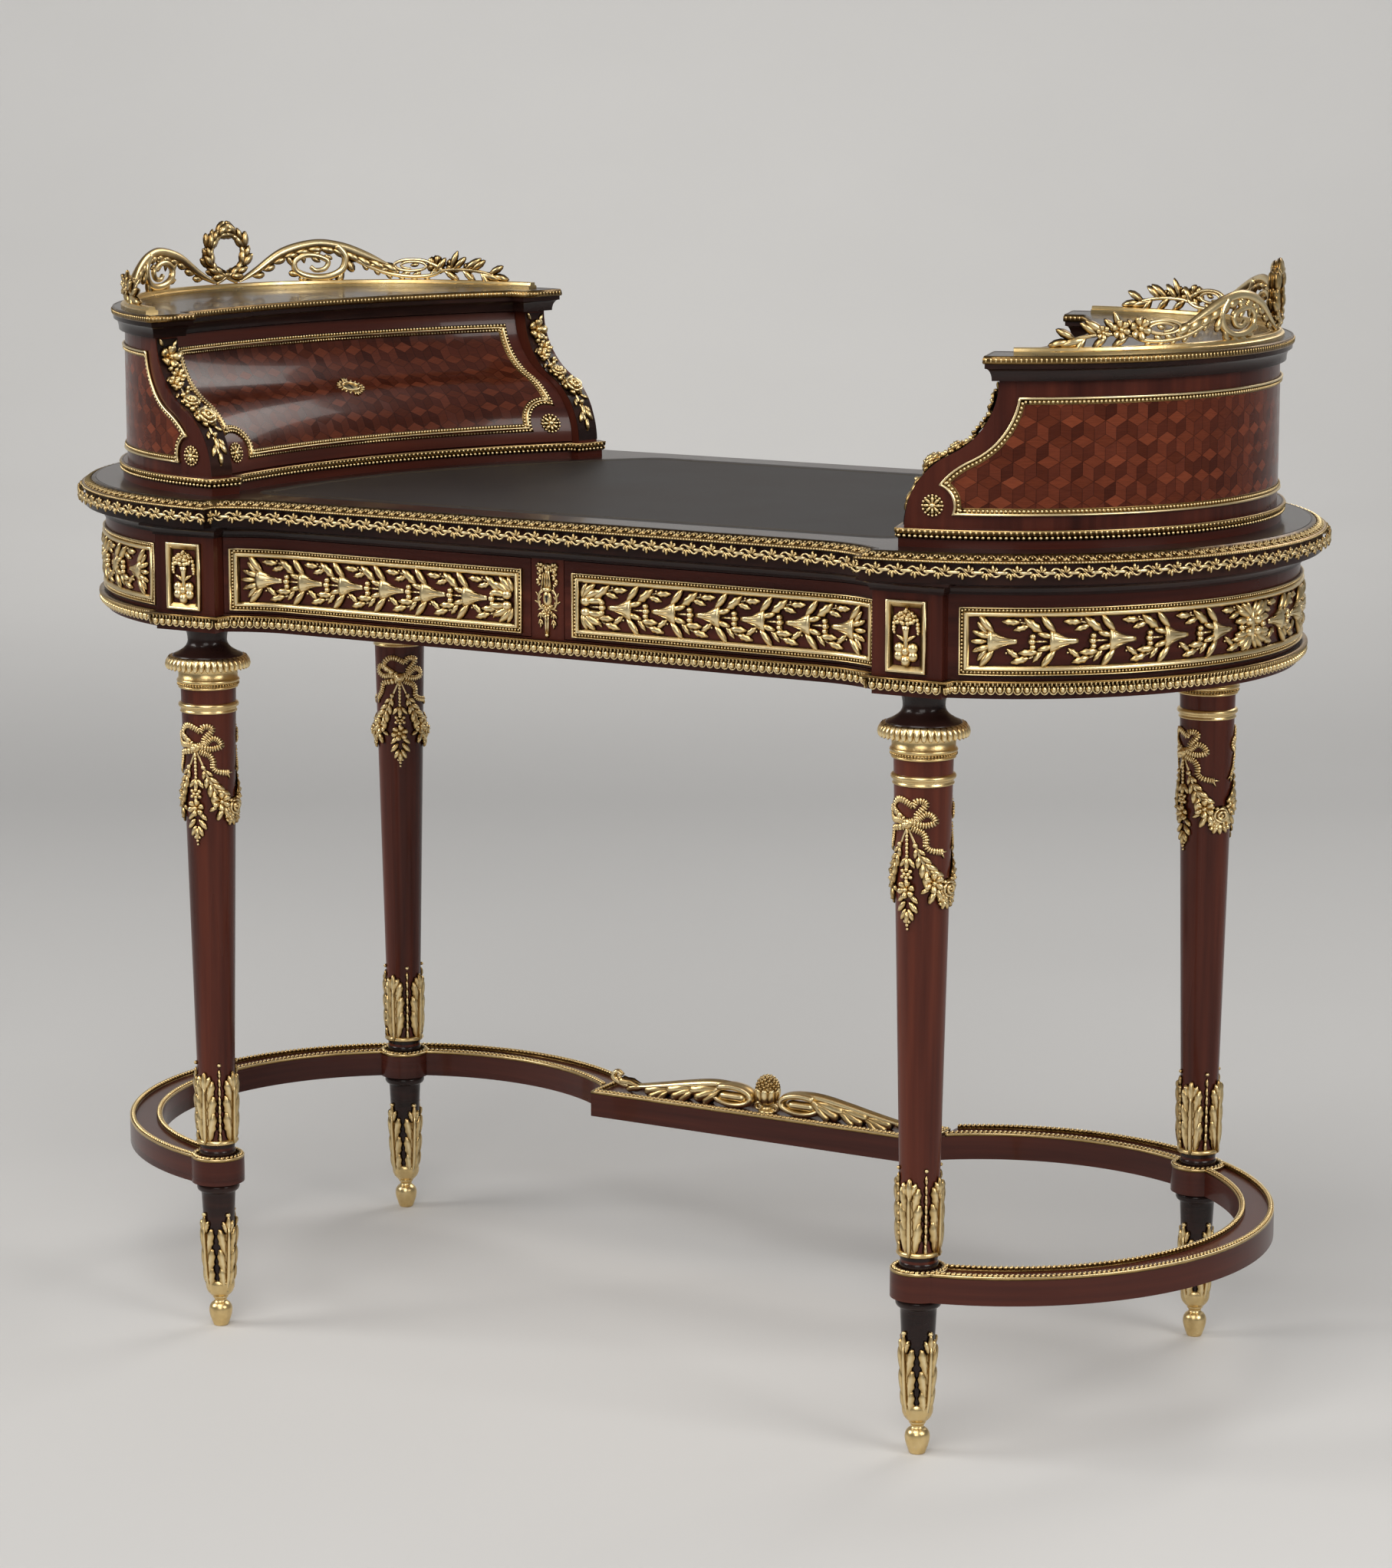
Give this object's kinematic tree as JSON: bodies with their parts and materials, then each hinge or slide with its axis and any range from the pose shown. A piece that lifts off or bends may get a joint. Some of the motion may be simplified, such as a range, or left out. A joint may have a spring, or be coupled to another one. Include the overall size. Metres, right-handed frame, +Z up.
{
  "type": "kidney-shaped desk",
  "caption": "Kidney-shaped mahogany writing desk with gilt mounts, frieze drawers, crescent end cabinets with drawers and galleries, and a shaped stretcher.",
  "frame": {"origin": "on the floor under the middle of the desk's box", "axes": "+Z up, -Y towards the sitter, +X to the sitter's right hand when facing the desk"},
  "size_m": [1.188, 0.556, 0.9795],
  "materials": {
    "mahogany": "french polish",
    "dark_mahogany": "dark french polish",
    "parquetry": "polished cube parquetry",
    "oak_lining": "bare oak",
    "gilt_bronze": "chased and gilded",
    "brass_lock": "bare brass",
    "writing_leather": "dark tooled leather"
  },
  "bodies": {
    "desk": {"back_leg_blocks": "oak_lining", "ball_feet": "gilt_bronze", "block_frames": "gilt_bronze", "cabinet_bands": "gilt_bronze", "cabinet_bases": "mahogany", "cabinet_pilasters": "mahogany", "cabinet_runners": "oak_lining", "cabinet_tops": "dark_mahogany", "cabinet_wall_frames": "gilt_bronze", "cabinet_walls": "parquetry", "centre_stile": "mahogany", "drawer_runners": "oak_lining", "dust_board": "oak_lining", "egg_and_dart_band": "gilt_bronze", "frieze_back": "mahogany", "frieze_left": "mahogany", "frieze_moulding": "dark_mahogany", "frieze_panel_frames": "gilt_bronze", "frieze_right": "mahogany", "front_block_left": "mahogany", "front_block_right": "mahogany", "front_bottom_rail": "mahogany", "front_top_rail": "mahogany", "galleries": "gilt_bronze", "gallery_rails": "gilt_bronze", "leaf_collars": "gilt_bronze", "leaf_sabots": "gilt_bronze", "leather_panel": "writing_leather", "leg_back_left": "mahogany", "leg_back_right": "mahogany", "leg_capitals": "gilt_bronze", "leg_front_left": "mahogany", "leg_front_right": "mahogany", "lower_leg_turnings": "dark_mahogany", "pinecone_finial": "gilt_bronze", "stile_lock": "brass_lock", "stile_mount": "gilt_bronze", "stretcher_bar": "mahogany", "stretcher_edging": "gilt_bronze", "stretcher_left": "mahogany", "stretcher_right": "mahogany", "stretcher_scroll_mount": "gilt_bronze", "top_board": "mahogany", "top_edge_band": "gilt_bronze", "vine_band": "gilt_bronze"},
    "cabinet_drawer_left": {"cabinet_drawer_box_left": "oak_lining", "cabinet_drawer_front_left": "parquetry", "cabinet_drawer_lock_left": "brass_lock", "cabinet_drawer_mounts_left": "gilt_bronze"},
    "cabinet_drawer_right": {"cabinet_drawer_box_right": "oak_lining", "cabinet_drawer_front_right": "parquetry", "cabinet_drawer_lock_right": "brass_lock", "cabinet_drawer_mounts_right": "gilt_bronze"},
    "desk_drawer_left": {"desk_drawer_box_left": "oak_lining", "desk_drawer_frame_left": "gilt_bronze", "desk_drawer_front_left": "mahogany"},
    "desk_drawer_right": {"desk_drawer_box_right": "oak_lining", "desk_drawer_frame_right": "gilt_bronze", "desk_drawer_front_right": "mahogany"}
  },
  "joints": [
    {"name": "desk_drawer_left_slide", "type": "slide", "parent": "desk", "child": "desk_drawer_left", "axis": [0, -1, 0], "range_m": [0, 0.26]},
    {"name": "desk_drawer_right_slide", "type": "slide", "parent": "desk", "child": "desk_drawer_right", "axis": [0, -1, 0], "range_m": [0, 0.26]},
    {"name": "cabinet_drawer_left_slide", "type": "slide", "parent": "desk", "child": "cabinet_drawer_left", "axis": [0.9573, -0.289, 0], "range_m": [0, 0.11]},
    {"name": "cabinet_drawer_right_slide", "type": "slide", "parent": "desk", "child": "cabinet_drawer_right", "axis": [-0.9573, -0.289, 0], "range_m": [0, 0.11]}
  ]
}
